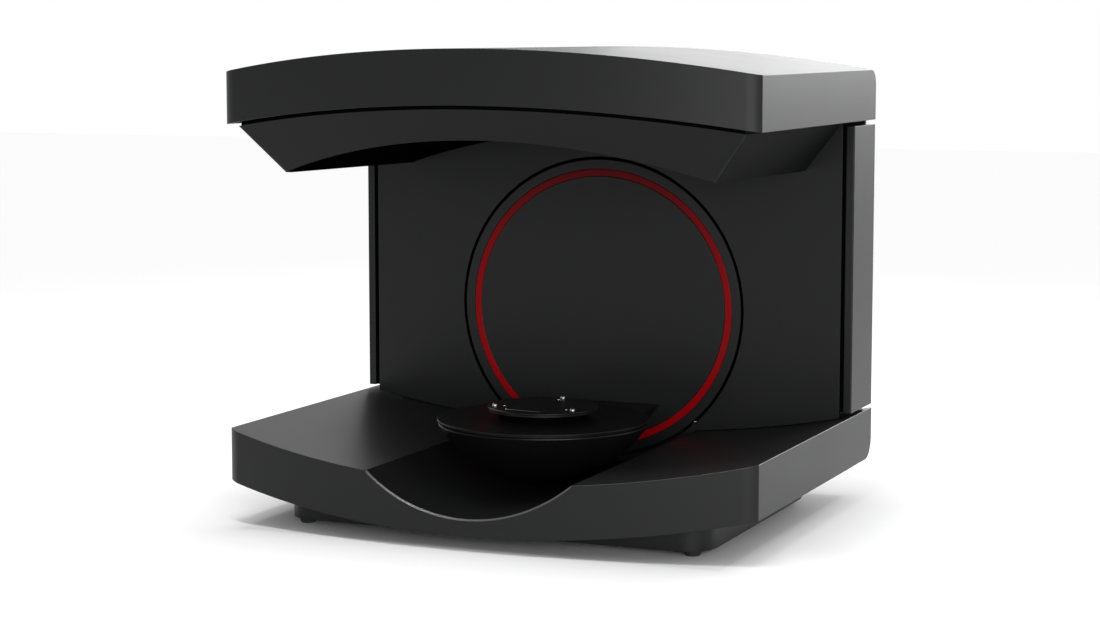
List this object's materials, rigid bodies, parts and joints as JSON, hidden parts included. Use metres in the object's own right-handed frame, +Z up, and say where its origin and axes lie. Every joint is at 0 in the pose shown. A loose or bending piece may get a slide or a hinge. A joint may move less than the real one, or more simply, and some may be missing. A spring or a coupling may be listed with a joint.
{
  "type": "dental lab scanner",
  "caption": "Open-fronted desktop scanner for dental models: a bowl with a turntable swings through a scoop in the base, under a hood with cameras and a projector.",
  "frame": {"origin": "on the table, under the middle of the body's overall box", "axes": "+X to the right as seen from the open front, +Y to the rear, +Z up"},
  "size_m": [0.422, 0.324, 0.3605],
  "materials": {
    "cover_plastic": "satin, very fine texture",
    "painted_sheet": "satin, very fine texture",
    "gloss_black": "high gloss",
    "matte_black": "matte",
    "red_plastic": "glossy, see-through red over black",
    "steel": "smooth bare metal",
    "zinc_sheet": "zinc plated",
    "aluminium": "machined",
    "rubber": "matte",
    "lens_glass": "coated, in a dark barrel",
    "circuit_board": "coated board"
  },
  "bodies": {
    "body": {"hood_cover": "cover_plastic", "hood_plate": "zinc_sheet", "base_cover": "cover_plastic", "base_pan": "painted_sheet", "foot_front_left": "rubber", "foot_front_right": "rubber", "foot_rear_left": "rubber", "foot_rear_right": "rubber", "wall_panel": "cover_plastic", "side_cover_left": "painted_sheet", "side_cover_right": "painted_sheet", "rear_cover": "painted_sheet", "rear_screw_1": "steel", "rear_screw_2": "steel", "rear_screw_3": "steel", "rear_screw_4": "steel", "post_left": "zinc_sheet", "post_right": "zinc_sheet", "drive_plate": "zinc_sheet", "bearing_housing": "aluminium", "bearing_front": "steel", "bearing_rear": "steel", "drive_belt": "rubber", "swing_motor": "steel", "visor_shell": "cover_plastic", "optics_panel": "matte_black", "optics_bracket": "zinc_sheet", "camera_left": "matte_black", "camera_right": "matte_black", "camera_lens_left": "lens_glass", "camera_lens_right": "lens_glass", "projector": "matte_black", "projector_lens": "lens_glass", "power_supply": "zinc_sheet", "control_board": "circuit_board", "power_inlet": "matte_black", "usb_port": "steel", "switch_frame": "matte_black"},
    "swing": {"swing_disc": "cover_plastic", "red_ring": "red_plastic", "swing_arm": "gloss_black", "bowl_cover": "gloss_black", "turntable_motor": "steel", "turntable_bearing": "steel", "swing_shaft": "steel", "shaft_nut": "steel", "swing_pulley": "aluminium"},
    "turntable": {"turntable_shaft": "steel", "turntable_hub": "gloss_black", "model_plate": "gloss_black", "locating_ball_1": "steel", "locating_ball_2": "steel", "locating_ball_3": "steel"},
    "swing_drive": {"motor_pulley": "aluminium", "motor_shaft": "steel", "motor_rotor": "steel"},
    "rocker": {"power_rocker": "gloss_black"}
  },
  "joints": [
    {"name": "swing_tilt", "type": "hinge", "parent": "body", "child": "swing", "pos_m": [0, 0.1027, 0.1503], "axis": [0, 1, 0], "range_deg": [-60, 60]},
    {"name": "turntable_spin", "type": "hinge", "parent": "swing", "child": "turntable", "pos_m": [0, -0.016, 0.083], "axis": [0, 0, 1], "continuous": true},
    {"name": "motor_spin", "type": "hinge", "parent": "body", "child": "swing_drive", "pos_m": [0, 0.126, 0.2353], "axis": [0, 1, 0], "range_deg": [-361, 361]},
    {"name": "power_switch", "type": "hinge", "parent": "body", "child": "rocker", "pos_m": [-0.06, 0.15631, 0.106], "axis": [1, 0, 0], "range_deg": [-18, 0]}
  ],
  "couplings": [
    {"joint": "motor_spin", "follows": "swing_tilt", "ratio": 6}
  ]
}
